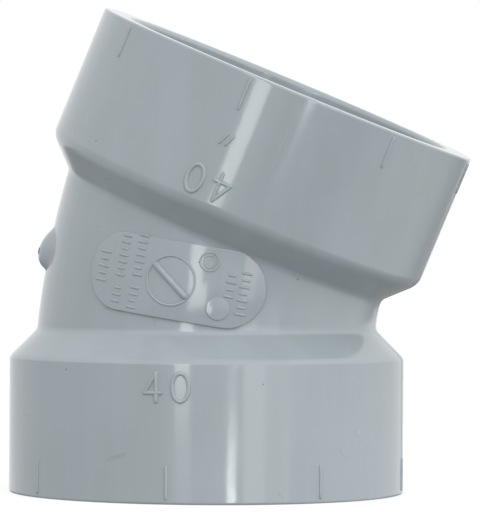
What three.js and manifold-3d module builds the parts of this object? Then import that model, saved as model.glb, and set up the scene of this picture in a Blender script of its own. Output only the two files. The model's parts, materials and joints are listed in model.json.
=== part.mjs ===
// Drain elbow, 22.5 degrees, with a socket ("hub") at each end. Millimetres, +Z up.
// The elbow stands on its lower hub. The bend lies in the XZ plane and leans toward +X.
// The real elbow is one moulding, so the meshes are its regions, kept a hair apart.
import * as THREE from 'three';
import { mergeVertices } from 'three/addons/utils/BufferGeometryUtils.js';
import Module from 'manifold-3d';

const { degToRad } = THREE.MathUtils;
const wasm = await Module();
wasm.setup();

// ---- Driving dimensions ------------------------------------------------------------------
const BEND_ANGLE = degToRad(22.5);

const HUB_RADIUS = 28.5;
const HUB_STRAIGHT = 18.3; // straight part of the hub, measured from its rim
const RIM_ROUNDING = 0.35;
const SHOULDER_ROUNDING = 2.9; // convex, between the hub and the cone
const SHOULDER_SLOPE = degToRad(45);
const NECK_RADIUS = 24.5;
const NECK_FILLET = 1.5; // concave, between the cone and the neck
const NECK_CHORD = 12.86; // straight distance between the ends of the neck

const SOCKET_DEPTH = 17.5;
const SOCKET_MOUTH_RADIUS = 24.3; // a loose fit on 48.26 mm pipe
const SOCKET_FLOOR_RADIUS = 24.05; // a tight one, so the pipe wedges
const MOUTH_CHAMFER = 0.5;
const BORE_RADIUS = 20.45;

const PAD = { height: 0.4, angle: degToRad(-3.5), halfLength: 12.9, halfWidth: 5.5 };
const DIAL = { radius: 3.45, line: 0.35, height: 0.2, ribWidth: 0.75, ribHeight: 0.4 };
const DIAL_RIB_TURN = degToRad(-37);
const CAVITY_DISC = { radius: 1.65, height: 0.2, angle: degToRad(13), along: -2.5 };
const MARK_RING = { radius: 1.4, line: 0.3, height: 0.2, angle: degToRad(7.6), along: 3.6 };
const BAR_HEIGHT = 0.2;
const BARS = [
  { name: 'pad_bar_1', angle: degToRad(-28.5), along: -0.3, width: 1.6, length: 4.2 },
  { name: 'pad_bar_2', angle: degToRad(-21.3), along: 0.1, width: 1.1, length: 9.0 },
  { name: 'pad_bar_3', angle: degToRad(-15.2), along: 0.1, width: 1.1, length: 9.4 },
  { name: 'pad_bar_4', angle: degToRad(15.5), along: 1.6, width: 1.1, length: 3.2 },
  { name: 'pad_bar_5', angle: degToRad(20), along: 0.1, width: 1.3, length: 6.2 },
];

const NUB = { radius: 3.1, height: 1.85, angle: degToRad(-72) };

const TICK = { width: 0.5, height: 0.3, start: 0.6, length: 4.7, count: 8 };
const DIGIT = { height: 4.5, width: 2.9, stroke: 0.75, relief: 0.25, pitch: 3.9, along: 16.1 };

const AROUND = 64; // facets round the elbow
const NECK_STEPS = 8;
const ARC_STEPS = 5;
const GAP = 0.05; // between neighbouring regions
const RELIEF_GAP = 0.02; // under a raised mark
const REACH = 5; // how far a cutting solid runs past what it cuts

// ---- Derived dimensions ------------------------------------------------------------------
// Height of the point where each rounding of the shoulder ends, measured from the rim.
const shoulderEnd = new THREE.Vector2(
  HUB_RADIUS - SHOULDER_ROUNDING * (1 - Math.cos(SHOULDER_SLOPE)),
  HUB_STRAIGHT + SHOULDER_ROUNDING * Math.sin(SHOULDER_SLOPE),
);
const filletStartRadius = NECK_RADIUS + NECK_FILLET * (1 - Math.cos(SHOULDER_SLOPE));
const coneHeight = (shoulderEnd.x - filletStartRadius) / Math.tan(SHOULDER_SLOPE);
const HUB_LENGTH = shoulderEnd.y + coneHeight + NECK_FILLET * Math.sin(SHOULDER_SLOPE);

const neckStart = new THREE.Vector3(0, 0, HUB_LENGTH);
const neckDirection = new THREE.Vector3(Math.sin(BEND_ANGLE / 2), 0, Math.cos(BEND_ANGLE / 2));
const neckEnd = neckStart.clone().addScaledVector(neckDirection, NECK_CHORD);
// The hubs' axes cross this far beyond each end of the neck.
const AXIS_RUN = NECK_CHORD / (2 * Math.cos(BEND_ANGLE / 2));

// ---- Helpers -----------------------------------------------------------------------------
function toSolid(geometry) {
  const bare = geometry.clone();
  bare.deleteAttribute('normal');
  bare.deleteAttribute('uv');
  const merged = mergeVertices(bare, 1e-4);
  return new wasm.Manifold(new wasm.Mesh({
    numProp: 3,
    vertProperties: new Float32Array(merged.attributes.position.array),
    triVerts: new Uint32Array(merged.index.array),
  }));
}

function toGeometry(solid) {
  const mesh = solid.getMesh();
  const geometry = new THREE.BufferGeometry();
  geometry.setAttribute('position', new THREE.BufferAttribute(mesh.vertProperties, 3));
  geometry.setIndex(new THREE.BufferAttribute(mesh.triVerts, 1));
  geometry.computeVertexNormals();
  return geometry;
}

function movePoints(geometry, move) {
  const position = geometry.attributes.position;
  const point = new THREE.Vector3();
  for (let i = 0; i < position.count; i += 1) {
    point.fromBufferAttribute(position, i);
    move(point);
    position.setXYZ(i, point.x, point.y, point.z);
  }
  return geometry;
}

// Arc points from angle a to angle b about a centre, both ends included.
function arc(cx, cy, radius, a, b, steps = ARC_STEPS) {
  return Array.from({ length: steps + 1 }, (_, i) => {
    const angle = a + ((b - a) * i) / steps;
    return new THREE.Vector2(cx + radius * Math.cos(angle), cy + radius * Math.sin(angle));
  });
}

// A ring-shaped solid about Z from a closed (radius, height) outline.
function turned(outline) {
  return new THREE.LatheGeometry([...outline, outline[0]], AROUND).rotateX(Math.PI / 2);
}

function plug(radius, length, steps = 1) {
  return new THREE.CylinderGeometry(radius, radius, length, AROUND, steps).rotateX(Math.PI / 2);
}

function annulus(radius, line, depth) {
  const shape = new THREE.Shape().absarc(0, 0, radius, 0, 2 * Math.PI);
  shape.holes.push(new THREE.Path().absarc(0, 0, radius - line, 0, 2 * Math.PI));
  return new THREE.ExtrudeGeometry(shape, { depth, bevelEnabled: false, curveSegments: 24 });
}

function mesh(name, geometry, material) {
  const node = new THREE.Mesh(geometry, material);
  node.name = name;
  return node;
}

// ---- Surfaces that marks are laid on -----------------------------------------------------
// Angles run from -Y toward +X. A flat mark has x round the part, y along it, z outward.
function onHub(geometry, angle, along) {
  return movePoints(geometry, (p) => {
    const turn = angle + p.x / HUB_RADIUS;
    const radius = HUB_RADIUS + RELIEF_GAP + p.z;
    p.set(radius * Math.sin(turn), -radius * Math.cos(turn), along + p.y);
  });
}

// A point of the bend's cross-section at fraction t of the neck. The sections' centres lie
// on the chord, and their planes fan evenly from the lower hub's to the upper hub's.
function neckPoint(p, t, x, y) {
  const turn = t * BEND_ANGLE;
  p.lerpVectors(neckStart, neckEnd, t);
  p.x += x * Math.cos(turn);
  p.y += y;
  p.z -= x * Math.sin(turn);
}

function onNeck(geometry, angle, along, lift) {
  return movePoints(geometry, (p) => {
    const turn = angle + p.x / (NECK_RADIUS + lift);
    const radius = NECK_RADIUS + lift + RELIEF_GAP + p.z;
    const t = 0.5 + (along + p.y) / NECK_CHORD;
    neckPoint(p, t, radius * Math.sin(turn), -radius * Math.cos(turn));
  });
}

// The bend as a solid plug. Extra length runs past both ends, for cutting.
function neckPlug(radius, extra = 0) {
  const length = NECK_CHORD + 2 * extra;
  return movePoints(plug(radius, length, NECK_STEPS), (p) => {
    neckPoint(p, 0.5 + p.z / NECK_CHORD, p.x, p.y);
  });
}

// ---- Materials ---------------------------------------------------------------------------
const greyPvc = new THREE.MeshStandardMaterial({ color: 0x9aa5ab, roughness: 0.35, metalness: 0 });
const reliefPvc = new THREE.MeshStandardMaterial({ color: 0xa2adb3, roughness: 0.4, metalness: 0 });

// ---- Hub: rim, socket, stop shoulder, cone and start of the bore ---------------------------
function hubOutline() {
  const end = HUB_LENGTH - GAP;
  return [
    new THREE.Vector2(SOCKET_MOUTH_RADIUS + MOUTH_CHAMFER, 0),
    ...arc(HUB_RADIUS - RIM_ROUNDING, RIM_ROUNDING, RIM_ROUNDING, -Math.PI / 2, 0, 3),
    ...arc(HUB_RADIUS - SHOULDER_ROUNDING, HUB_STRAIGHT, SHOULDER_ROUNDING, 0, SHOULDER_SLOPE),
    ...arc(NECK_RADIUS + NECK_FILLET, HUB_LENGTH, NECK_FILLET,
      Math.PI + SHOULDER_SLOPE, Math.PI, 3).slice(0, -1),
    new THREE.Vector2(NECK_RADIUS, end),
    new THREE.Vector2(BORE_RADIUS, end),
    new THREE.Vector2(BORE_RADIUS, SOCKET_DEPTH),
    new THREE.Vector2(SOCKET_FLOOR_RADIUS, SOCKET_DEPTH),
    new THREE.Vector2(SOCKET_MOUTH_RADIUS, MOUTH_CHAMFER),
  ];
}

function hubTick(index) {
  const rooted = TICK.height + 0.3; // sunk into the wall, so that it joins
  const box = new THREE.BoxGeometry(TICK.width, rooted, TICK.length);
  box.translate(0, -(HUB_RADIUS + TICK.height - rooted / 2), TICK.start + TICK.length / 2);
  return box.rotateZ((2 * Math.PI * index) / TICK.count);
}

function makeHub() {
  let solid = toSolid(turned(hubOutline()));
  for (let index = 0; index < TICK.count; index += 1) {
    solid = solid.add(toSolid(hubTick(index)));
  }
  return toGeometry(solid);
}

// ---- Raised size number, the metric nominal size -----------------------------------------
function digitZero() {
  const { width, height, stroke, relief } = DIGIT;
  const shape = new THREE.Shape().absellipse(0, 0, width / 2, height / 2, 0, 2 * Math.PI);
  const inner = new THREE.Path();
  inner.absellipse(0, 0, width / 2 - stroke, height / 2 - stroke, 0, 2 * Math.PI);
  shape.holes.push(inner);
  return new THREE.ExtrudeGeometry(shape, { depth: relief, bevelEnabled: false, curveSegments: 16 });
}

// A straight stroke between two points, as a flat bar.
function strokeBar(x0, y0, x1, y1) {
  const length = Math.hypot(x1 - x0, y1 - y0) + DIGIT.stroke;
  const bar = new THREE.BoxGeometry(length, DIGIT.stroke, DIGIT.relief);
  bar.translate(0, 0, DIGIT.relief / 2).rotateZ(Math.atan2(y1 - y0, x1 - x0));
  return toSolid(bar.translate((x0 + x1) / 2, (y0 + y1) / 2, 0));
}

function digitFour() {
  const right = (DIGIT.width - DIGIT.stroke) / 2;
  const top = (DIGIT.height - DIGIT.stroke) / 2;
  const stem = right * 0.4;
  const bar = -top * 0.4;
  return toGeometry(strokeBar(stem, -top, stem, top)
    .add(strokeBar(-right, bar, right, bar))
    .add(strokeBar(-right, bar, stem, top)));
}

function hubGroup(side) {
  const group = new THREE.Group();
  const shift = DIGIT.pitch / 2 / HUB_RADIUS;
  group.add(
    mesh(`${side}_hub`, makeHub(), greyPvc),
    mesh(`${side}_size_digit_4`, onHub(digitFour(), -shift, DIGIT.along), reliefPvc),
    mesh(`${side}_size_digit_0`, onHub(digitZero(), shift, DIGIT.along), reliefPvc),
  );
  return group;
}

// ---- Bend body: outside a fanned tube, inside two straight bores that meet at a mitre ------
function boreCore(innerSide) {
  const length = AXIS_RUN + REACH;
  const core = plug(BORE_RADIUS, length).translate(0, 0, HUB_LENGTH + AXIS_RUN - length / 2);
  const mitre = innerSide * Math.tan(BEND_ANGLE / 2);
  const overrun = GAP; // the two cores cross a little at the mitre
  return movePoints(core, (p) => {
    if (p.z > HUB_LENGTH) p.z += overrun - p.x * mitre;
  });
}

function makeBendBody() {
  const lowerCore = toSolid(boreCore(1));
  const upperCore = toSolid(placeUpper(boreCore(-1)));
  return toGeometry(toSolid(neckPlug(NECK_RADIUS)).subtract(lowerCore).subtract(upperCore));
}

// ---- Marking pad: a raised plate with round ends, hugging the neck ------------------------
function makePad() {
  const skin = toSolid(neckPlug(NECK_RADIUS + PAD.height, REACH))
    .subtract(toSolid(neckPlug(NECK_RADIUS + GAP, 2 * REACH)));
  const straight = PAD.halfLength - PAD.halfWidth;
  const outline = [
    ...arc(straight, 0, PAD.halfWidth, -Math.PI / 2, Math.PI / 2, 12),
    ...arc(-straight, 0, PAD.halfWidth, Math.PI / 2, 1.5 * Math.PI, 12),
  ];
  // Seen along -Y, the wrapped plate looks shorter than it is.
  for (const p of outline) p.x = NECK_RADIUS * Math.sin(PAD.angle + p.x / NECK_RADIUS);
  const prism = new THREE.ExtrudeGeometry(new THREE.Shape(outline), {
    depth: NECK_RADIUS + REACH,
    bevelEnabled: false,
  });
  prism.rotateX(Math.PI / 2).rotateY(BEND_ANGLE / 2);
  const middle = neckStart.clone().lerp(neckEnd, 0.5);
  prism.translate(middle.x, middle.y, middle.z);
  return toGeometry(skin.intersect(toSolid(prism)));
}

function makeDial() {
  const ring = onNeck(annulus(DIAL.radius, DIAL.line, DIAL.height), PAD.angle, 0, PAD.height);
  const ribLength = 2 * (DIAL.radius - DIAL.line / 2);
  const rib = new THREE.BoxGeometry(ribLength, DIAL.ribWidth, DIAL.ribHeight, 8, 1, 1);
  rib.translate(0, 0, DIAL.ribHeight / 2).rotateZ(DIAL_RIB_TURN);
  return toGeometry(toSolid(ring).add(toSolid(onNeck(rib, PAD.angle, 0, PAD.height))));
}

function makeCavityDisc() {
  const { radius, height, angle, along } = CAVITY_DISC;
  const disc = new THREE.CylinderGeometry(radius, radius, height, 24).rotateX(Math.PI / 2);
  return onNeck(disc.translate(0, 0, height / 2), angle, along, PAD.height);
}

function makeMarkRing() {
  const { radius, line, height, angle, along } = MARK_RING;
  return onNeck(annulus(radius, line, height), angle, along, PAD.height);
}

function makeBar({ angle, along, width, length }) {
  const bar = new THREE.BoxGeometry(width, length, BAR_HEIGHT, 1, 4, 1);
  return onNeck(bar.translate(0, 0, BAR_HEIGHT / 2), angle, along, PAD.height);
}

// ---- Gate nub: the rounded stub where the plastic entered the mould ------------------------
function makeNub() {
  const root = 2; // sunk below the neck's surface before it is trimmed to it
  const outline = [
    new THREE.Vector2(0, -root),
    new THREE.Vector2(NUB.radius, -root),
    new THREE.Vector2(NUB.radius, 0),
    ...Array.from({ length: 6 }, (_, i) => {
      const lean = ((i + 1) / 6) * (Math.PI / 2);
      return new THREE.Vector2(NUB.radius * Math.cos(lean), NUB.height * Math.sin(lean));
    }).slice(0, -1),
    new THREE.Vector2(0, NUB.height),
  ];
  const dome = new THREE.LatheGeometry(outline, 24).rotateX(Math.PI / 2);
  dome.translate(0, 0, NECK_RADIUS).rotateX(Math.PI / 2).rotateZ(NUB.angle);
  dome.rotateY(BEND_ANGLE / 2);
  const middle = neckStart.clone().lerp(neckEnd, 0.5);
  dome.translate(middle.x, middle.y, middle.z);
  return toGeometry(toSolid(dome).subtract(toSolid(neckPlug(NECK_RADIUS + GAP, REACH))));
}

function bendGroup() {
  const group = new THREE.Group();
  group.add(
    mesh('bend_body', makeBendBody(), greyPvc),
    mesh('marking_pad', makePad(), greyPvc),
    mesh('date_dial', makeDial(), reliefPvc),
    mesh('cavity_disc', makeCavityDisc(), reliefPvc),
    mesh('mark_ring', makeMarkRing(), reliefPvc),
    mesh('gate_nub', makeNub(), greyPvc),
    ...BARS.map((bar) => mesh(bar.name, makeBar(bar), reliefPvc)),
  );
  return group;
}

// ---- Assembly ----------------------------------------------------------------------------
// The upper hub is the lower one turned over: its rim is at the far end, facing out.
const upperTurn = Math.PI + BEND_ANGLE;
const upperAxis = new THREE.Vector3(Math.sin(BEND_ANGLE), 0, Math.cos(BEND_ANGLE));
const upperRim = neckEnd.clone().addScaledVector(upperAxis, HUB_LENGTH);

function placeUpper(geometry) {
  return geometry.rotateY(upperTurn).translate(upperRim.x, upperRim.y, upperRim.z);
}

const elbow = new THREE.Group();
const lowerHub = hubGroup('lower');
const upperHub = hubGroup('upper');
upperHub.position.copy(upperRim);
upperHub.rotation.y = upperTurn;
elbow.add(lowerHub, bendGroup(), upperHub);

// The origin is under the middle of the whole elbow, on the plane of the lower rim.
elbow.updateMatrixWorld(true);
const box = new THREE.Box3().setFromObject(elbow, true);
elbow.position.x = -(box.min.x + box.max.x) / 2;

export default elbow;
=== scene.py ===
"""Looks of a drain elbow: one moulding in grey PVC, with a socket hub at each end.

Lengths are metres. Pieces of the neck are shaped upright about the neck's middle, and marks
of a hub upright on its rim, and each is then turned and moved into its place.
"""

import json
import math

import bpy
from bpy.props import FloatProperty, FloatVectorProperty, IntProperty, PointerProperty
from mathutils import Matrix, Vector


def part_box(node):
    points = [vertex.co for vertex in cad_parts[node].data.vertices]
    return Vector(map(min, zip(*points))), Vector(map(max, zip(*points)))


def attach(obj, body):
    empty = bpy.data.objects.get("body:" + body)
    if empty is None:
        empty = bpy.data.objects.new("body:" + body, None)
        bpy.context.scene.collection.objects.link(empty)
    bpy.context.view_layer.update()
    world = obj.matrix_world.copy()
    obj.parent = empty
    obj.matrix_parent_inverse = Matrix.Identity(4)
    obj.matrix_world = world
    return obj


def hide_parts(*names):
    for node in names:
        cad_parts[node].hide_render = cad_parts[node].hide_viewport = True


bl_info = {
    "name": "Drain Elbow",
    "version": (1, 0, 0),
    "blender": (4, 5, 0),
    "location": "View3D > Sidebar > Elbow",
    "description": "Builds a moulded PVC drain elbow with its marks, floor, lights and camera",
    "category": "Add Mesh",
}

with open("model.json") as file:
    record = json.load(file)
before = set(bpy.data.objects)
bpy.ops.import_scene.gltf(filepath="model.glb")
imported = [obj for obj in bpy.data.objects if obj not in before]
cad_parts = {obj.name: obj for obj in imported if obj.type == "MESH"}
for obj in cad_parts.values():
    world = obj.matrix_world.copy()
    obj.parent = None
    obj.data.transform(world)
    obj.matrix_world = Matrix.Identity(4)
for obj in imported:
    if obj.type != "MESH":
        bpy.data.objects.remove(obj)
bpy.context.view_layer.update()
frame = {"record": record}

MM = 0.001
BODY = "root"


def mount_axis(name):
    """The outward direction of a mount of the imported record."""
    mount = next(m for m in frame["record"]["mounts"] if m["name"] == name)
    return Vector(mount["axis"])


# ---- Places taken from the frame -----------------------------------------------------------
TICK_RISE = 0.3 * MM
NODE_GAP = 0.05 * MM  # what the CAD leaves between a hub and the neck
HUB_LOW, HUB_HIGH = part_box("lower_hub")
NECK_LOW, NECK_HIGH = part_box("bend_body")
HUB_RADIUS = (HUB_HIGH[1] - HUB_LOW[1]) / 2 - TICK_RISE
HUB_LENGTH = HUB_HIGH[2] + NODE_GAP
NECK_RADIUS = (NECK_HIGH[1] - NECK_LOW[1]) / 2
LOWER_RIM = Vector(((HUB_LOW[0] + HUB_HIGH[0]) / 2, 0, 0))
UPPER_AXIS = mount_axis("upper_rim_face")
BEND = math.atan2(UPPER_AXIS.x, UPPER_AXIS.z)
HALF_BEND = BEND / 2
CONE_SLOPE = math.radians(45)
LOWER_SHOULDER_CORNER = math.radians(26)
UPPER_SHOULDER_CORNER = math.radians(8)

# Where the pad's middle stands: its angle round the neck, its height, and its lean.
PAD_ANGLE = math.radians(-3.1)
PAD_HEIGHT = 0.1 * MM
PAD_LEAN = math.radians(-2.3)

MARK_RISE = 0.22 * MM  # of the ticks and the numbers

# Rows of plain strokes on the pad: name, node, angle round the neck in degrees, height of the
# first stroke, length of a full stroke, pitch, and each stroke's share of the full length.
ROWS = (
    ("stroke_block_left", "pad_bar_1", -28.5, -2.0 * MM, 2.0 * MM, 1.0 * MM, (1, 0.6, 1, 0.6, 1)),
    ("stroke_row_a", "pad_bar_2", -21.3, -4.4 * MM, 1.5 * MM, 0.92 * MM,
     (1, 1, 0.7, 0, 1, 0.7, 1, 1, 0.7, 1, 1)),
    ("stroke_row_b", "pad_bar_3", -15.2, -4.8 * MM, 1.5 * MM, 0.92 * MM,
     (1, 0.7, 1, 1, 0, 1, 0.7, 1, 1, 0.7, 1, 1)),
    ("stroke_row_c", "pad_bar_4", 15.6, -0.6 * MM, 1.5 * MM, 1.0 * MM, (1, 0.7, 1, 0.7)),
    ("stroke_row_d", "pad_bar_5", 20.2, -2.7 * MM, 1.6 * MM, 0.95 * MM,
     (1, 0.7, 1, 0.7, 1, 0.7, 1)),
)

PAD_PIECES = (
    "pad_plate", "dial_and_rib", "cavity_button", "double_ring", *(row[0] for row in ROWS),
)

# The gate's stub: its angle round the neck, how far it leans down for each millimetre that it
# stands out, and the outlines of the stub and of its cut tip as (height, radius) in millimetres.
GATE_ANGLE = math.radians(-72)
GATE_DROP = 0.4
GATE_PROFILE = (
    (-0.6, 3.9), (-0.38, 3.72), (-0.12, 3.36), (0.14, 3.0), (0.42, 2.68), (0.7, 2.36),
    (0.96, 2.0), (1.18, 1.6), (1.34, 1.2), (1.43, 0.88), (1.47, 0.62), (1.475, 0.02),
)
GATE_CUT_PROFILE = ((1.35, 0.5), (1.5, 0.5), (1.55, 0.44), (1.57, 0.3), (1.575, 0.02))

# The floor, and the directions in which the surroundings change.
FLOOR_RADIUS = 4
FLOOR_DROP = 0.05 * MM  # keeps it clear of the lower rim
UP = (0, 0, 1)
RIGHT = (0.981, 0.194, 0)
FRONT = (0.194, -0.981, 0)

# Lights round the elbow: name, azimuth from the front, lower end, upper end and width, all in
# degrees, and power for each square metre.
LIGHTS = (
    ("left_strip", -2.8, -3.2, 30, 8.5, 17),
    ("low_glow", -2, -5.6, -4.4, 9.6, 3.5),
    ("right_strip", 25.2, -9.6, -4.2, 4.8, 40),
    ("right_softbox", 38, -12, 20, 13, 3.5),
    ("right_fill", 46, -12, 20, 28, 2.5),
    ("pad_light", -0.5, -10.5, -3.1, 11.5, 15),
)


# ---- Sizes and colours that a user would change --------------------------------------------
class ElbowShape(bpy.types.PropertyGroup):
    """Sizes of the moulding."""

    around: IntProperty(name="Segments", description="Faces round the elbow", default=192)
    neck_chord: FloatProperty(
        name="Neck chord",
        description="Straight distance between the ends of the neck",
        default=12.86 * MM,
        unit="LENGTH",
    )
    inner_hollow: FloatProperty(
        name="Inner hollow",
        description="How far the inner side of the bend is drawn in at its middle",
        default=0.5 * MM,
        unit="LENGTH",
    )
    hub_straight: FloatProperty(
        name="Hub straight",
        description="Straight part of a hub, from its rim",
        default=18.3 * MM,
        unit="LENGTH",
    )
    shoulder_rounding: FloatProperty(
        name="Shoulder rounding",
        description="Radius between a hub and its cone",
        default=2.9 * MM,
        unit="LENGTH",
    )
    neck_fillet: FloatProperty(
        name="Neck fillet",
        description="Radius between a cone and the neck",
        default=1.5 * MM,
        unit="LENGTH",
    )
    rim_rounding: FloatProperty(
        name="Rim rounding",
        description="Radius of a hub's outer edge",
        default=0.28 * MM,
        unit="LENGTH",
    )
    socket_depth: FloatProperty(
        name="Socket depth",
        description="From a rim to the pipe stop",
        default=17.5 * MM,
        unit="LENGTH",
    )
    socket_mouth: FloatProperty(
        name="Socket mouth",
        description="Radius of a socket at its mouth",
        default=24.3 * MM,
        unit="LENGTH",
    )
    socket_floor: FloatProperty(
        name="Socket floor",
        description="Radius of a socket at the pipe stop",
        default=24.05 * MM,
        unit="LENGTH",
    )
    bore: FloatProperty(
        name="Bore",
        description="Radius of the water way",
        default=20.45 * MM,
        unit="LENGTH",
    )


class ElbowMarks(bpy.types.PropertyGroup):
    """Sizes of the raised marks."""

    tick_length: FloatProperty(
        name="Tick length",
        description="Length of an alignment tick",
        default=4.7 * MM,
        unit="LENGTH",
    )
    tick_width: FloatProperty(
        name="Tick width", description="Width of a tick", default=0.45 * MM, unit="LENGTH"
    )
    number_height: FloatProperty(
        name="Number height",
        description="Height of the size number",
        default=4.5 * MM,
        unit="LENGTH",
    )
    number_stroke: FloatProperty(
        name="Number stroke", description="Width of its strokes", default=0.6 * MM, unit="LENGTH"
    )
    pad_half_width: FloatProperty(
        name="Pad half width",
        description="Half of the marking pad's height up the neck",
        default=5.5 * MM,
        unit="LENGTH",
    )
    pad_half_length: FloatProperty(
        name="Pad half length",
        description="Half of the marking pad's length round the neck",
        default=13.1 * MM,
        unit="LENGTH",
    )
    pad_rise: FloatProperty(
        name="Pad rise", description="Height of the marking pad", default=0.4 * MM, unit="LENGTH"
    )
    dial_radius: FloatProperty(
        name="Dial radius", description="Radius of the date dial", default=3.6 * MM, unit="LENGTH"
    )
    parting_rise: FloatProperty(
        name="Parting line",
        description="Height of the line that the mould halves leave",
        default=0.07 * MM,
        unit="LENGTH",
    )


class ElbowLook(bpy.types.PropertyGroup):
    """Colours of the plastic and the stage."""

    plastic: FloatVectorProperty(
        name="Plastic",
        description="Colour of the PVC",
        subtype="COLOR",
        default=(0.279, 0.317, 0.338),
        min=0,
        max=1,
    )
    roughness: FloatProperty(
        name="Roughness",
        description="Roughness of the moulded skin",
        default=0.1,
        min=0,
        max=1,
        subtype="FACTOR",
    )
    floor: FloatVectorProperty(
        name="Floor",
        description="Colour of the floor",
        subtype="COLOR",
        default=(0.3, 0.3, 0.3),
        min=0,
        max=1,
    )


# ---- Turning and moving --------------------------------------------------------------------
def turn(angle, axis, about=(0, 0, 0)):
    """Turns the selection right-handed about an axis through a point."""
    if angle:
        bpy.ops.transform.rotate(value=-angle, orient_axis=axis, center_override=about)


def shift(offset):
    """Moves the selection."""
    bpy.ops.transform.translate(value=offset)


def whole(piece):
    """Opens a piece in edit mode with all of it selected."""
    if bpy.context.mode != "OBJECT":
        bpy.ops.object.mode_set(mode="OBJECT")
    bpy.ops.object.select_all(action="DESELECT")
    piece.select_set(True)
    bpy.context.view_layer.objects.active = piece
    bpy.ops.object.mode_set(mode="EDIT")
    bpy.ops.mesh.select_all(action="SELECT")


def shape_settings():
    """The shape's property group."""
    return bpy.context.scene.elbow_shape


def neck_middle():
    """The middle of the neck's chord in the row frame."""
    half = shape_settings().neck_chord / 2
    rise = Vector((math.sin(HALF_BEND), 0, math.cos(HALF_BEND))) * half
    return LOWER_RIM + Vector((0, 0, HUB_LENGTH)) + rise


def upper_rim():
    """The middle of the upper rim in the row frame."""
    half = shape_settings().neck_chord / 2
    rise = Vector((math.sin(HALF_BEND), 0, math.cos(HALF_BEND))) * half
    return neck_middle() + rise + UPPER_AXIS * HUB_LENGTH


def place_on_neck(piece):
    """Leans a piece shaped about the neck's middle into its place."""
    whole(piece)
    turn(HALF_BEND, "Y")
    shift(neck_middle())
    bpy.ops.object.mode_set(mode="OBJECT")


def place_on_hub(piece, upper):
    """Puts a piece shaped on an upright hub onto the lower or the upper hub."""
    whole(piece)
    if upper:
        turn(math.pi + BEND, "Y")
    shift(upper_rim() if upper else LOWER_RIM)
    bpy.ops.object.mode_set(mode="OBJECT")


def close_up(piece):
    """Merges a new piece's doubles, points its faces outward and smooths it."""
    whole(piece)
    bpy.ops.mesh.remove_doubles(threshold=0.002 * MM)
    bpy.ops.mesh.normals_make_consistent(inside=False)
    bpy.ops.object.mode_set(mode="OBJECT")
    bpy.ops.object.shade_smooth_by_angle(angle=math.radians(50))


def finished(piece, *nodes):
    """Hides the model's parts that a piece stands for, rides it on the elbow's one body and gives
    it the moulded PVC.
    """
    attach(piece, BODY)
    if nodes:
        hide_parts(*nodes)
    piece.data.materials.clear()
    piece.data.materials.append(bpy.data.materials["moulded_pvc"])


def join(pieces, name):
    """Joins pieces into one, named."""
    bpy.ops.object.select_all(action="DESELECT")
    for piece in pieces:
        piece.select_set(True)
    bpy.context.view_layer.objects.active = pieces[0]
    if len(pieces) > 1:
        bpy.ops.object.join()
    pieces[0].name = name
    return pieces[0]


# ---- Tubes made of rings -------------------------------------------------------------------
class Ring:
    """One ring of a tube: its middle, its radius, its lean about Y and its stretch along X."""

    def __init__(self, x, z, radius, lean=0.0, stretch=1.0):
        self.middle = Vector((x, 0, z))
        self.radius = radius
        self.lean = lean
        self.stretch = stretch


def step_to(last, ring):
    """Extrudes the selected ring and carries it from one station to the next."""
    bpy.ops.mesh.extrude_edges_move()
    grow = ring.radius / last.radius
    leans = (last.lean, ring.lean)
    if last.stretch == ring.stretch:
        leans = (0, ring.lean - last.lean)
    turn(-leans[0], "Y", last.middle)
    if (grow, last.stretch) != (1, ring.stretch):
        sideways = grow * ring.stretch / last.stretch
        bpy.ops.transform.resize(value=(sideways, grow, grow), center_override=last.middle)
    turn(leans[1], "Y", last.middle)
    shift(ring.middle - last.middle)


def tube(rings, around, seam_width=0.0):
    """A tube through rings. Two seam lines may be split off at its sides."""
    first = rings[0]
    bpy.ops.object.select_all(action="DESELECT")
    bpy.ops.mesh.primitive_circle_add(vertices=around, radius=first.radius)
    piece = bpy.context.object
    whole(piece)
    if seam_width:
        bpy.ops.mesh.select_all(action="DESELECT")
        bpy.ops.object.mode_set(mode="OBJECT")
        for vertex in piece.data.vertices:
            vertex.select = abs(vertex.co.y) < 0.01 * MM
        bpy.ops.object.mode_set(mode="EDIT")
        bpy.ops.mesh.bevel(offset=seam_width, segments=2, affect="VERTICES")
        bpy.ops.mesh.select_all(action="SELECT")
    bpy.ops.transform.resize(value=(first.stretch, 1, 1), center_override=(0, 0, 0))
    turn(first.lean, "Y")
    shift(first.middle)
    for last, ring in zip(rings, rings[1:]):
        step_to(last, ring)
    return piece


def loop_tube(rings, around, seam_width=0.0):
    """A tube whose last ring comes round to its first."""
    piece = tube([*rings, rings[0]], around, seam_width)
    bpy.ops.object.mode_set(mode="OBJECT")
    close_up(piece)
    return piece


def flatten(piece, rise, width):
    """Presses round wire in the XZ plane flat, to stand as high as its rise."""
    whole(piece)
    bpy.ops.transform.resize(value=(1, 2 * rise / width, 1), center_override=(0, 0, 0))
    bpy.ops.object.mode_set(mode="OBJECT")
    return piece


def rod(x0, z0, x1, z1, width, rise, around=12):
    """A stroke with round ends, whose middle line runs between two points of the XZ plane."""
    length = math.hypot(x1 - x0, z1 - z0)
    lean = math.atan2(x1 - x0, z1 - z0)
    along = Vector((math.sin(lean), 0, math.cos(lean)))
    radius = width / 2
    tip = 4  # rings of a round end
    steps = max(2, round(length / width))
    spots = [(-radius, radius * 0.02)]
    for i in range(1, tip):
        a = i / tip * math.pi / 2
        spots.append((-radius * math.cos(a), radius * math.sin(a)))
    middle = [(length * i / steps, radius) for i in range(steps + 1)]
    ends = [(length - s, r) for s, r in reversed(spots)]
    rings = []
    for s, r in [*spots, *middle, *ends]:
        place = Vector((x0, 0, z0)) + along * s
        rings.append(Ring(place.x, place.z, r, lean))
    piece = tube(rings, around)
    bpy.ops.mesh.select_all(action="DESELECT")
    bpy.ops.mesh.select_non_manifold()
    bpy.ops.mesh.edge_face_add()
    bpy.ops.object.mode_set(mode="OBJECT")
    close_up(piece)
    return flatten(piece, rise, width)


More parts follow.
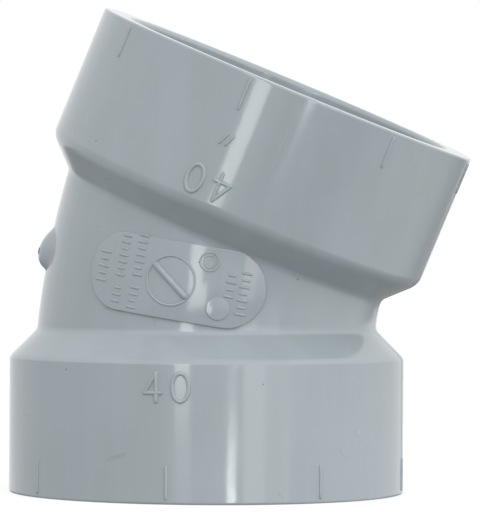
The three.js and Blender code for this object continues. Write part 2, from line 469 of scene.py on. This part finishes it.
def hoop(x, z, half_width, half_height, line, rise, steps=48, around=10):
    """A round or oval stroke that closes on itself, in the XZ plane."""
    rings = []
    for i in range(steps):
        a = 2 * math.pi * i / steps
        ring_x = x + half_width * math.cos(a)
        ring_z = z + half_height * math.sin(a)
        heading = math.atan2(-half_width * math.sin(a), half_height * math.cos(a))
        rings.append(Ring(ring_x, ring_z, line / 2, heading))
    return flatten(loop_tube(rings, around), rise, line)


def plate(half_length, half_width, rise, sunk, slices):
    """A flat plate with round ends that faces -Y, with a soft edge, cut into upright slices."""
    around = 64
    bpy.ops.object.select_all(action="DESELECT")
    bpy.ops.mesh.primitive_circle_add(
        vertices=around, radius=half_width, rotation=(math.pi / 2, 0, 0), fill_type="NGON",
    )
    piece = bpy.context.object
    bpy.ops.object.transform_apply(location=True, rotation=True, scale=True)
    for side in (1, -1):
        select_vertices(piece, lambda co: co.x * side > 0.001 * MM)
        shift((side * (half_length - half_width), 0, 0))
    whole(piece)
    shift((0, sunk, 0))
    bpy.ops.mesh.extrude_region_move()
    edge = 0.45 * rise
    shift((0, -(sunk + rise - edge), 0))
    steps = 4
    for i in range(steps):
        before, after = (math.pi / 2 * k / steps for k in (i, i + 1))
        bpy.ops.mesh.inset(thickness=edge * (math.cos(before) - math.cos(after)), depth=0)
        shift((0, -edge * (math.sin(after) - math.sin(before)), 0))
    for i in range(1, slices):
        bpy.ops.mesh.select_all(action="SELECT")
        place = half_length * (2 * i / slices - 1)
        bpy.ops.mesh.bisect(plane_co=(place, 0, 0), plane_no=(1, 0, 0))
    bpy.ops.object.mode_set(mode="OBJECT")
    close_up(piece)
    return piece


def select_vertices(piece, test):
    """Opens a piece in edit mode with the vertices that pass a test selected."""
    whole(piece)
    bpy.ops.mesh.select_mode(type="VERT")
    bpy.ops.mesh.select_all(action="DESELECT")
    bpy.ops.object.mode_set(mode="OBJECT")
    for vertex in piece.data.vertices:
        vertex.select = test(vertex.co)
    bpy.ops.object.mode_set(mode="EDIT")


def relief(pieces, name, wrap_radius, angle, height):
    """Joins flat strokes, wraps them round a cylinder and turns them to their place."""
    piece = join(pieces, name)
    wrap(piece, wrap_radius)
    whole(piece)
    shift((0, -wrap_radius, 0))
    turn(angle, "Z")
    shift((0, 0, height))
    bpy.ops.object.mode_set(mode="OBJECT")
    return piece


def wrap(piece, radius):
    """Bends a piece that stands in the XZ plane round an upright cylinder behind it."""
    across = [vertex.co.x for vertex in piece.data.vertices]
    bend = piece.modifiers.new("wrap", "SIMPLE_DEFORM")
    bend.deform_method = "BEND"
    bend.deform_axis = "Z"
    bend.angle = (max(across) - min(across)) / radius
    apply_modifier(piece, bend)


def apply_modifier(piece, modifier):
    """Applies one modifier of a piece."""
    bpy.ops.object.select_all(action="DESELECT")
    piece.select_set(True)
    bpy.context.view_layer.objects.active = piece
    bpy.ops.object.modifier_apply(modifier=modifier.name)


# ---- Outline of a hub ----------------------------------------------------------------------
def arc(middle_s, middle_r, radius, start, end, steps):
    """(distance, radius) pairs on an arc. Angles run from straight out toward the rim."""
    pairs = []
    for i in range(steps + 1):
        a = start + (end - start) * i / steps
        pairs.append((middle_s + radius * math.sin(a), middle_r + radius * math.cos(a)))
    return pairs


def straight(start, end, steps):
    """(distance, radius) pairs on a line, both ends left out.

    A pair close to each end keeps the shading of the line apart from that of its ends.
    """
    hold = 0.12 * MM / math.dist(start, end)
    pairs = []
    for share in (hold, *(i / steps for i in range(1, steps)), 1 - hold):
        pairs.append((
            start[0] + (end[0] - start[0]) * share,
            start[1] + (end[1] - start[1]) * share,
        ))
    return pairs


def hub_outside(corner):
    """From the end of the neck to the rim, as (distance from the neck, radius) pairs.

    The shoulder meets the wall at the corner's angle. The cone stays where it is for any angle.
    """
    s = shape_settings()
    fillet = arc(0, NECK_RADIUS + s.neck_fillet, -s.neck_fillet, 0, -CONE_SLOPE, 6)
    raised = s.shoulder_rounding * (1 - math.cos(corner))
    shoulder = arc(
        HUB_LENGTH - s.hub_straight + raised, HUB_RADIUS - s.shoulder_rounding + raised,
        s.shoulder_rounding, -CONE_SLOPE, -corner, 10,
    )
    rim = arc(
        HUB_LENGTH - s.rim_rounding, HUB_RADIUS - s.rim_rounding, s.rim_rounding,
        0, math.pi / 2, 5,
    )
    cone = straight(fillet[-1], shoulder[0], 6)
    wall = straight(shoulder[-1], rim[0], 8)
    return [*fillet[1:], *cone, *shoulder, *wall, *rim]


def hub_inside():
    """From the rim's inner edge to the start of the bore."""
    s = shape_settings()
    chamfer = 0.5 * MM
    edge = 0.3 * MM
    stop = HUB_LENGTH - s.socket_depth
    mouth = [
        (HUB_LENGTH, s.socket_mouth + chamfer + 0.1 * MM),
        (HUB_LENGTH - 0.03 * MM, s.socket_mouth + chamfer - 0.05 * MM),
        (HUB_LENGTH - chamfer + 0.08 * MM, s.socket_mouth + 0.06 * MM),
        (HUB_LENGTH - chamfer - 0.1 * MM, s.socket_mouth - 0.005 * MM),
    ]
    corner = arc(stop + edge, s.socket_floor - edge, edge, 0, -math.pi / 2, 4)
    lip = arc(stop - edge, s.bore + edge, -edge, -math.pi / 2, 0, 4)
    wall = straight(mouth[-1], corner[0], 6)
    return [*mouth, *wall, *corner, *lip]


def hub_ring(pair, side):
    """A hub's ring, in the upright neck's frame. Side is 1 for the upper hub, -1 for the lower."""
    distance, radius = pair
    reach = shape_settings().neck_chord / 2 + distance * math.cos(HALF_BEND)
    return Ring(distance * math.sin(HALF_BEND), side * reach, radius, side * HALF_BEND)


def neck_rings(steps=14):
    """Rings that fan along the chord, drawn in a little on the inner side."""
    s = shape_settings()
    rings = []
    for i in range(steps + 1):
        t = 2 * i / steps - 1
        drawn = s.inner_hollow * (1 - t * t)
        rings.append(Ring(
            -drawn / 2, t * s.neck_chord / 2, NECK_RADIUS, t * HALF_BEND,
            1 - drawn / (2 * NECK_RADIUS),
        ))
    return rings


def shell_rings():
    """All stations of the moulding's wall, up its outside and down its inside."""
    s = shape_settings()
    outside, inside = hub_outside(UPPER_SHOULDER_CORNER), hub_inside()
    lower_outside = hub_outside(LOWER_SHOULDER_CORNER)
    mitre_x = -s.neck_chord / 2 * math.tan(HALF_BEND)
    mitre = Ring(mitre_x, 0, s.bore, 0, 1 / math.cos(HALF_BEND))
    return [
        *[hub_ring(pair, -1) for pair in reversed(lower_outside)],
        *neck_rings(),
        *[hub_ring(pair, 1) for pair in [*outside, *inside]],
        mitre,
        *[hub_ring(pair, -1) for pair in reversed(inside)],
    ]


def ease_inner_bend(piece):
    """Rounds the two fillets on the inner side of the bend into one soft hollow."""
    s = shape_settings()
    reach = 5.2 * MM
    group = piece.vertex_groups.new(name="inner_bend")
    for vertex in piece.data.vertices:
        x, y, z = vertex.co
        facing = x / math.hypot(x, y)
        if facing <= 0 or abs(z) > reach or math.hypot(x, y) < s.bore + 2 * MM:
            continue
        group.add([vertex.index], facing ** 2 * (1 - (z / reach) ** 2) ** 2, "REPLACE")
    soften = piece.modifiers.new("soften", "SMOOTH")
    soften.factor = 0.5
    soften.iterations = 30
    soften.vertex_group = group.name
    apply_modifier(piece, soften)
    piece.vertex_groups.clear()


def raise_parting_line(piece):
    """Lifts the seam's middle line off the outside of the wall."""
    s = shape_settings()
    end = HUB_LENGTH - s.rim_rounding - 0.2 * MM

    def on_seam(co):
        if abs(co.y) > 0.01 * MM:
            return False
        # Both halves of the elbow mirror each other, so one hub's axis serves for both.
        up = abs(co.z) - s.neck_chord / 2
        along = co.x * math.sin(HALF_BEND) + up * math.cos(HALF_BEND)
        distance = abs(co.x * math.cos(HALF_BEND) - up * math.sin(HALF_BEND))
        inside = s.socket_mouth if along > HUB_LENGTH - s.socket_depth else s.bore
        return distance > inside + 2 * MM and along < end

    select_vertices(piece, on_seam)
    bpy.ops.transform.shrink_fatten(value=bpy.context.scene.elbow_marks.parting_rise)
    bpy.ops.object.mode_set(mode="OBJECT")


# ---- Shader maths --------------------------------------------------------------------------
class Value:
    """A node's output that takes part in Python expressions."""

    def __init__(self, nodes, socket):
        self.nodes = nodes
        self.socket = socket

    def maths(self, operation, first, second):
        return self.nodes.add("ShaderNodeMath", {"operation": operation}, {0: first, 1: second})

    def __add__(self, other):
        return self.maths("ADD", self, other)

    def __sub__(self, other):
        return self.maths("SUBTRACT", self, other)

    def __mul__(self, other):
        return self.maths("MULTIPLY", self, other)

    def __rsub__(self, other):
        return self.maths("SUBTRACT", other, self)

    __radd__ = __add__
    __rmul__ = __mul__


class Nodes:
    """Adds nodes to a material's or a world's tree."""

    def __init__(self, owner):
        owner.use_nodes = True
        self.tree = owner.node_tree

    def add(self, kind, settings=None, inputs=None, output=0):
        """Adds a node of a type, with its settings and then its sockets' values or links."""
        node = self.tree.nodes.new(kind)
        for name, setting in (settings or {}).items():
            setattr(node, name, setting)
        self.fill(node, inputs or {})
        return Value(self, node.outputs[output])

    def fill(self, node, inputs):
        """Sets or links sockets of a node."""
        for key, given in inputs.items():
            if isinstance(given, Value):
                self.tree.links.new(given.socket, node.inputs[key])
            else:
                node.inputs[key].default_value = given

    def add_output(self, kind, surface):
        """Adds the tree's output node."""
        self.fill(self.tree.nodes.new(kind), {"Surface": surface})

    def noise(self, place, scale, detail=2.0, roughness=0.5):
        return self.add("ShaderNodeTexNoise", {}, {
            "Vector": place, "Scale": scale, "Detail": detail, "Roughness": roughness,
        })

    def along(self, way, axis):
        """How far a direction points along an axis."""
        settings = {"operation": "DOT_PRODUCT"}
        return self.add("ShaderNodeVectorMath", settings, {0: way, 1: axis}, "Value")

    def stretched(self, place, scale):
        return self.add("ShaderNodeMapping", {}, {"Vector": place, "Scale": scale})

    def step(self, value, low, high):
        """0 below low, 1 above high, and smooth between."""
        return self.add("ShaderNodeMapRange", {"interpolation_type": "SMOOTHSTEP"}, {
            "Value": value, "From Min": low, "From Max": high,
        })

    def mix(self, factor, first, second):
        """Goes from the first colour to the second."""
        return self.add("ShaderNodeMix", {"data_type": "RGBA"}, {0: factor, 6: first, 7: second}, 2)


def shade(colour, gain):
    """A colour made lighter or darker, with its alpha."""
    gains = gain if isinstance(gain, tuple) else (gain, gain, gain)
    return (*(c * g for c, g in zip(colour, gains)), 1)


def moulded_pvc():
    """Grey PVC as it leaves the mould: faintly marbled, specked and scuffed, with soft gloss."""
    look = bpy.context.scene.elbow_look
    material = bpy.data.materials.new("moulded_pvc")
    nodes = Nodes(material)
    bsdf = nodes.tree.nodes["Principled BSDF"]
    place = nodes.add("ShaderNodeTexCoord", output="Object")

    marbling = nodes.noise(place, 62, 3)
    flow = nodes.noise(nodes.stretched(place, (300, 300, 26)), 1, 3)
    tone = nodes.step(marbling * 0.6 + flow * 0.4, 0.36, 0.64)
    colour = nodes.mix(
        tone, shade(look.plastic, (0.965, 0.975, 0.955)), shade(look.plastic, (1.03, 1.03, 1.05)),
    )

    # Scuffs from handling: pale, dull blotches that keep to patches.
    patches = nodes.step(nodes.noise(place, 38, 2), 0.5, 0.7)
    scuff = nodes.step(nodes.noise(place, 300, 6, 0.7), 0.48, 0.72) * patches
    colour = nodes.mix(scuff * 0.1, colour, shade(look.plastic, 1.3))

    # Fine scratches: narrow crests of a bent wave, broken into short lengths.
    wave = nodes.add("ShaderNodeTexWave", {"bands_direction": "DIAGONAL"}, {
        "Vector": place, "Scale": 26, "Distortion": 5, "Detail": 2, "Detail Scale": 1.5,
    }, "Fac")
    breaks = nodes.step(nodes.noise(place, 260, 1), 0.64, 0.70)
    scratch = nodes.step(wave, 0.9985, 0.9998) * breaks
    colour = nodes.mix(scratch * 0.35, colour, shade(look.plastic, 0.7))

    # Burnt specks of resin, where a grain happens to reach the surface.
    grains = nodes.add("ShaderNodeTexVoronoi", {}, {"Vector": place, "Scale": 190}, "Distance")
    speck = 1 - nodes.step(grains, 0.018, 0.032)
    colour = nodes.mix(speck * 0.75, colour, shade(look.plastic, 0.25))

    roughness = look.roughness - 0.03 + marbling * 0.06 + scuff * 0.25 + scratch * 0.2
    waviness = nodes.noise(place, 48, 1)
    peel = nodes.noise(place, 900, 2)
    height = waviness * 0.07 + flow * 0.012 + peel * 0.0022 - scratch * 0.01
    bump = nodes.add("ShaderNodeBump", {}, {"Height": height, "Distance": MM, "Strength": 1})
    nodes.fill(bsdf, {"Base Color": colour, "Roughness": roughness, "Normal": bump})
    bsdf.inputs["IOR"].default_value = 1.5
    return material


def cut_gate():
    """The rough, darker skin where the runner was cut off."""
    look = bpy.context.scene.elbow_look
    material = bpy.data.materials.new("cut_gate")
    nodes = Nodes(material)
    bsdf = nodes.tree.nodes["Principled BSDF"]
    place = nodes.add("ShaderNodeTexCoord", output="Object")
    grain = nodes.noise(place, 2600, 4)
    nodes.fill(bsdf, {
        "Base Color": nodes.mix(grain, shade(look.plastic, 0.22), shade(look.plastic, 0.5)),
        "Roughness": 0.55 + grain * 0.25,
        "Normal": nodes.add("ShaderNodeBump", {}, {"Height": grain * 0.05, "Distance": MM}),
    })
    return material


# ---- Operators: one for each piece or group of like pieces ---------------------------------
class ELBOW_OT_materials(bpy.types.Operator):
    """Make the moulded PVC and the cut gate's finish"""

    bl_idname = "elbow.materials"
    bl_label = "Materials"

    def execute(self, context):
        moulded_pvc()
        cut_gate()
        return {"FINISHED"}


class ELBOW_OT_shell(bpy.types.Operator):
    """Make the moulding's continuous wall: both hubs, the neck, the sockets and the bore"""

    bl_idname = "elbow.shell"
    bl_label = "Elbow shell"

    def execute(self, context):
        shell = loop_tube(shell_rings(), shape_settings().around, seam_width=0.12 * MM)
        shell.name = "elbow_shell"
        ease_inner_bend(shell)
        raise_parting_line(shell)
        place_on_neck(shell)
        finished(shell, "lower_hub", "bend_body", "upper_hub")
        return {"FINISHED"}


class ELBOW_OT_ticks(bpy.types.Operator):
    """Make the raised alignment ticks round both hubs"""

    bl_idname = "elbow.ticks"
    bl_label = "Alignment ticks"

    def execute(self, context):
        marks = context.scene.elbow_marks
        width, rise = marks.tick_width, MARK_RISE
        start = 0.6 * MM
        count = 8
        for upper in (False, True):
            ticks = []
            for i in range(count):
                strokes = [rod(0, start + width / 2, 0, start + marks.tick_length - width / 2,
                               width, rise)]
                ticks.append(relief(strokes, "tick", HUB_RADIUS, 2 * math.pi * i / count, 0))
            piece = join(ticks, "upper_hub_ticks" if upper else "lower_hub_ticks")
            place_on_hub(piece, upper)
            finished(piece)
        return {"FINISHED"}


class ELBOW_OT_numbers(bpy.types.Operator):
    """Make the raised size number on both hubs"""

    bl_idname = "elbow.numbers"
    bl_label = "Size numbers"

    def execute(self, context):
        marks = context.scene.elbow_marks
        width, rise = marks.number_stroke, MARK_RISE
        half_high = (marks.number_height - width) / 2
        half_wide = 1.45 * MM - width / 2
        offset = 1.95 * MM
        along = 16.1 * MM
        stem = 0.4 * half_wide - offset
        bar = -0.4 * half_high
        for upper in (False, True):
            side = "upper" if upper else "lower"
            four = relief([
                rod(stem, -half_high, stem, half_high, width, rise),
                rod(-half_wide - offset, bar, half_wide - offset, bar, width, rise),
                rod(-half_wide - offset, bar, stem, half_high, width, rise),
            ], f"{side}_size_four", HUB_RADIUS, 0, along)
            zero = relief(
                [hoop(offset, 0, half_wide, half_high, width, rise)],
                f"{side}_size_zero", HUB_RADIUS, 0, along,
            )
            for piece, digit in ((four, 4), (zero, 0)):
                place_on_hub(piece, upper)
                finished(piece, f"{side}_size_digit_{digit}")
        return {"FINISHED"}


class ELBOW_OT_pad(bpy.types.Operator):
    """Make the low marking pad on the front of the neck"""

    bl_idname = "elbow.pad"
    bl_label = "Marking pad"

    def execute(self, context):
        marks = context.scene.elbow_marks
        flat = plate(marks.pad_half_length, marks.pad_half_width, marks.pad_rise, 0.25 * MM, 40)
        whole(flat)
        turn(PAD_LEAN, "Y")
        bpy.ops.object.mode_set(mode="OBJECT")
        pad = relief([flat], "pad_plate", NECK_RADIUS, PAD_ANGLE, PAD_HEIGHT)
        place_on_neck(pad)
        finished(pad, "marking_pad")
        return {"FINISHED"}


class ELBOW_OT_imprints(bpy.types.Operator):
    """Make the date dial, the cavity disc and the small ring on the pad"""

    bl_idname = "elbow.imprints"
    bl_label = "Imprints"

    def execute(self, context):
        marks = context.scene.elbow_marks
        radius = NECK_RADIUS + marks.pad_rise
        line, rise = 0.34 * MM, 0.16 * MM
        rib_width, rib_rise = 1.0 * MM, 0.45 * MM
        reach = marks.dial_radius - rib_width / 2 - 0.15 * MM
        lean = math.radians(-55)
        rib_x, rib_z = reach * math.sin(lean), reach * math.cos(lean)
        ring = marks.dial_radius - line / 2
        dial = relief([
            hoop(0, 0, ring, ring, line, rise, steps=72),
            rod(-rib_x, -rib_z, rib_x, rib_z, rib_width, rib_rise),
        ], "dial_and_rib", radius, math.radians(-3.6), 0)
        disc = relief(
            [plate(1.6 * MM, 1.6 * MM - 0.001 * MM, 0.16 * MM, 0.1 * MM, 12)],
            "cavity_button", radius, math.radians(13), -2.5 * MM,
        )
        ring = relief([
            hoop(0, 0, 1.3 * MM, 1.3 * MM, 0.28 * MM, 0.14 * MM),
            hoop(0, 0, 0.85 * MM, 0.85 * MM, 0.2 * MM, 0.1 * MM),
        ], "double_ring", radius, math.radians(7.6), 3.65 * MM)
        for piece, node in ((dial, "date_dial"), (disc, "cavity_disc"), (ring, "mark_ring")):
            place_on_neck(piece)
            finished(piece, node)
        return {"FINISHED"}


class ELBOW_OT_rows(bpy.types.Operator):
    """Make the rows of short plain strokes on the pad, and the two on the upper hub"""

    bl_idname = "elbow.rows"
    bl_label = "Rows of strokes"

    def execute(self, context):
        radius = NECK_RADIUS + context.scene.elbow_marks.pad_rise
        for name, node, angle, start, high, pitch, row in ROWS:
            width, rise = 0.36 * MM, 0.14 * MM
            strokes = []
            for i, share in enumerate(row):
                if share:
                    reach = (high - width) / 2 * share
                    z = start + i * pitch
                    strokes.append(rod(-reach, z, reach, z, width, rise, around=8))
            piece = relief(strokes, name, radius, math.radians(angle), 0)
            place_on_neck(piece)
            finished(piece, node)
        width = 0.35 * MM
        half = 0.75 * MM
        strokes = [
            rod(x - 0.35 * MM, -half, x + 0.35 * MM, half, width, 0.16 * MM)
            for x in (-0.45 * MM, 0.45 * MM)
        ]
        pair = relief(strokes, "upper_hub_strokes", HUB_RADIUS, math.radians(-0.3), 9.6 * MM)
        line = relief(
            [rod(0, 3.3 * MM, 0, 12.7 * MM, 0.22 * MM, 0.035 * MM)],
            "upper_hub_flow_line", HUB_RADIUS, math.radians(-15), 0,
        )
        for piece in (pair, line):
            place_on_hub(piece, True)
            finished(piece)
        return {"FINISHED"}


class ELBOW_OT_gate(bpy.types.Operator):
    """Make the stub of the gate on the side of the neck, and its cut tip"""

    bl_idname = "elbow.gate"
    bl_label = "Gate stub"

    def execute(self, context):
        stub = dome(GATE_PROFILE, 48)
        stub.name = "gate_stub"
        tip = dome(GATE_CUT_PROFILE, 24)
        tip.name = "gate_cut"
        for piece in (stub, tip):
            whole(piece)
            turn(-math.pi / 2, "Z")
            turn(math.pi / 2, "X")
            shift((0, -NECK_RADIUS, 0))
            turn(GATE_ANGLE, "Z")
            bpy.ops.object.mode_set(mode="OBJECT")
            place_on_neck(piece)
        finished(stub, "gate_nub")
        finished(tip)
        tip.data.materials.clear()
        tip.data.materials.append(bpy.data.materials["cut_gate"])
        return {"FINISHED"}


def dome(profile, around):
    """A closed round stub that stands along Z, through (height, radius) pairs in millimetres."""
    rings = []
    for height, radius in profile:
        rings.append(Ring(GATE_DROP * max(0, height) * MM, height * MM, radius * MM))
    piece = tube(rings, around)
    bpy.ops.mesh.select_all(action="DESELECT")
    bpy.ops.mesh.select_non_manifold()
    bpy.ops.mesh.edge_face_add()
    bpy.ops.object.mode_set(mode="OBJECT")
    close_up(piece)
    return piece


def aim_camera():
    """The camera, low in front of the elbow and a little to its right."""
    azimuth, distance, height = math.radians(11.197), 0.53765, 0.03664
    yaw, pitch, roll = (math.radians(a) for a in (0.501, 0.275, 0.3765))
    bpy.ops.object.camera_add()
    camera = bpy.context.object
    camera.name = "camera"
    camera.data.sensor_width = 36
    camera.data.lens = 261.26
    camera.location = LOWER_RIM + Vector((
        distance * math.sin(azimuth), -distance * math.cos(azimuth), height,
    ))
    facing = (
        Matrix.Rotation(azimuth - yaw, 3, "Z")
        @ Matrix.Rotation(math.pi / 2 - pitch, 3, "X")
        @ Matrix.Rotation(roll, 3, "Z")
    )
    camera.rotation_euler = facing.to_euler()
    bpy.context.scene.camera = camera


def strip_light(name, azimuth, low, high, width, power):
    """An upright strip of light round the elbow, with its place and size in degrees."""
    distance = 1.2
    middle, height = (low + high) / 2, high - low
    out = Vector((
        math.sin(math.radians(azimuth)) * math.cos(math.radians(middle)),
        -math.cos(math.radians(azimuth)) * math.cos(math.radians(middle)),
        math.sin(math.radians(middle)),
    ))
    centre = Vector((0, 0, 0.03))
    bpy.ops.object.light_add(type="AREA", location=centre + out * distance)
    light = bpy.context.object
    light.name = name
    light.rotation_euler = out.to_track_quat("Z", "Y").to_euler()
    light.data.shape = "RECTANGLE"
    light.data.size = 2 * distance * math.tan(math.radians(width / 2))
    light.data.size_y = 2 * distance * math.tan(math.radians(height / 2))
    light.data.energy = power * light.data.size * light.data.size_y


def keep_light_to(name, pieces):
    """Lets a light reach only the given pieces."""
    reached = bpy.data.collections.new(f"lit_by_{name}")
    for piece in pieces:
        reached.objects.link(piece)
    bpy.data.objects[name].light_linking.receiver_collection = reached


class ELBOW_OT_stage(bpy.types.Operator):
    """Make the pale floor, the soft surroundings, the strip lights and the camera"""

    bl_idname = "elbow.stage"
    bl_label = "Stage"

    def execute(self, context):
        look = context.scene.elbow_look
        bpy.ops.object.select_all(action="DESELECT")
        bpy.ops.mesh.primitive_circle_add(vertices=96, radius=FLOOR_RADIUS, fill_type="NGON")
        floor = context.object
        floor.name = "floor"
        whole(floor)
        shift((0, 0, -FLOOR_DROP))
        bpy.ops.object.mode_set(mode="OBJECT")
        # The floor is a backdrop: what lights the elbow from below is the surroundings.
        floor.visible_diffuse = False
        floor.visible_glossy = False
        floor.visible_shadow = False
        material = bpy.data.materials.new("pale_floor")
        nodes = Nodes(material)
        bsdf = nodes.tree.nodes["Principled BSDF"]
        nodes.fill(bsdf, {
            "Base Color": shade(look.floor, 1), "Roughness": 1, "Specular IOR Level": 0,
            "Emission Color": (1, 1, 1, 1), "Emission Strength": 0.72,
        })
        floor.data.materials.append(material)

        world = bpy.data.worlds.new("soft_surroundings")
        context.scene.world = world
        nodes = Nodes(world)
        nodes.tree.nodes.clear()
        way = nodes.add("ShaderNodeTexCoord", output="Generated")
        up, right, front = (nodes.along(way, axis) for axis in (UP, RIGHT, FRONT))
        # Below the horizon it is dark, apart from both sides.
        right_end = nodes.step(right, 0.55, 0.95)
        left_end = nodes.step(0 - right, 0.55, 0.95)
        below = 0.29 + right_end * 0.9 + left_end * 0.6 - front * 0.05
        # Above it is light, more so on the right and high in front, and less straight overhead.
        high = nodes.step(up, 0.08, 0.6)
        overhead = nodes.step(up, 0.78, 0.95)
        above = 1 + right * (0.5 + front * 0.5) * 0.44 + high * (0.42 + front * 0.5)
        above = above - overhead * 0.45
        level = nodes.step(up, -0.15, -0.08)
        strength = below * (1 - level) + above * level
        back = nodes.add("ShaderNodeBackground", {}, {"Color": (1, 1, 1, 1), "Strength": strength})
        nodes.add_output("ShaderNodeOutputWorld", back)
        for light in LIGHTS:
            strip_light(*light)
        # The pad has a highlight of its own, and does without the one on its right.
        pieces = [piece for piece in context.scene.objects if piece.type == "MESH"]
        keep_light_to("pad_light", [p for p in pieces if p.name in PAD_PIECES])
        keep_light_to("right_strip", [p for p in pieces if p.name not in PAD_PIECES])
        context.scene.view_settings.view_transform = "Standard"
        aim_camera()
        return {"FINISHED"}


class ELBOW_PT_panel(bpy.types.Panel):
    """Lists the elbow's operators and sizes"""

    bl_idname = "ELBOW_PT_panel"
    bl_label = "Drain elbow"
    bl_space_type = "VIEW_3D"
    bl_region_type = "UI"
    bl_category = "Elbow"

    def draw(self, context):
        for operator in OPERATORS:
            self.layout.operator(operator.bl_idname)
        for settings in (
            context.scene.elbow_shape, context.scene.elbow_marks, context.scene.elbow_look,
        ):
            box = self.layout.box()
            for name in settings.__annotations__:
                box.prop(settings, name)


GROUPS = (ElbowShape, ElbowMarks, ElbowLook)
OPERATORS = (
    ELBOW_OT_materials,
    ELBOW_OT_shell,
    ELBOW_OT_ticks,
    ELBOW_OT_numbers,
    ELBOW_OT_pad,
    ELBOW_OT_imprints,
    ELBOW_OT_rows,
    ELBOW_OT_gate,
    ELBOW_OT_stage,
)


def register():
    for made in (*GROUPS, *OPERATORS, ELBOW_PT_panel):
        bpy.utils.register_class(made)
    bpy.types.Scene.elbow_shape = PointerProperty(type=ElbowShape)
    bpy.types.Scene.elbow_marks = PointerProperty(type=ElbowMarks)
    bpy.types.Scene.elbow_look = PointerProperty(type=ElbowLook)


def unregister():
    del bpy.types.Scene.elbow_look
    del bpy.types.Scene.elbow_marks
    del bpy.types.Scene.elbow_shape
    for made in reversed((*GROUPS, *OPERATORS, ELBOW_PT_panel)):
        bpy.utils.unregister_class(made)


def main():
    register()
    bpy.ops.elbow.materials()
    bpy.ops.elbow.shell()
    bpy.ops.elbow.ticks()
    bpy.ops.elbow.numbers()
    bpy.ops.elbow.pad()
    bpy.ops.elbow.imprints()
    bpy.ops.elbow.rows()
    bpy.ops.elbow.gate()
    bpy.ops.elbow.stage()


if __name__ == "__main__":
    main()
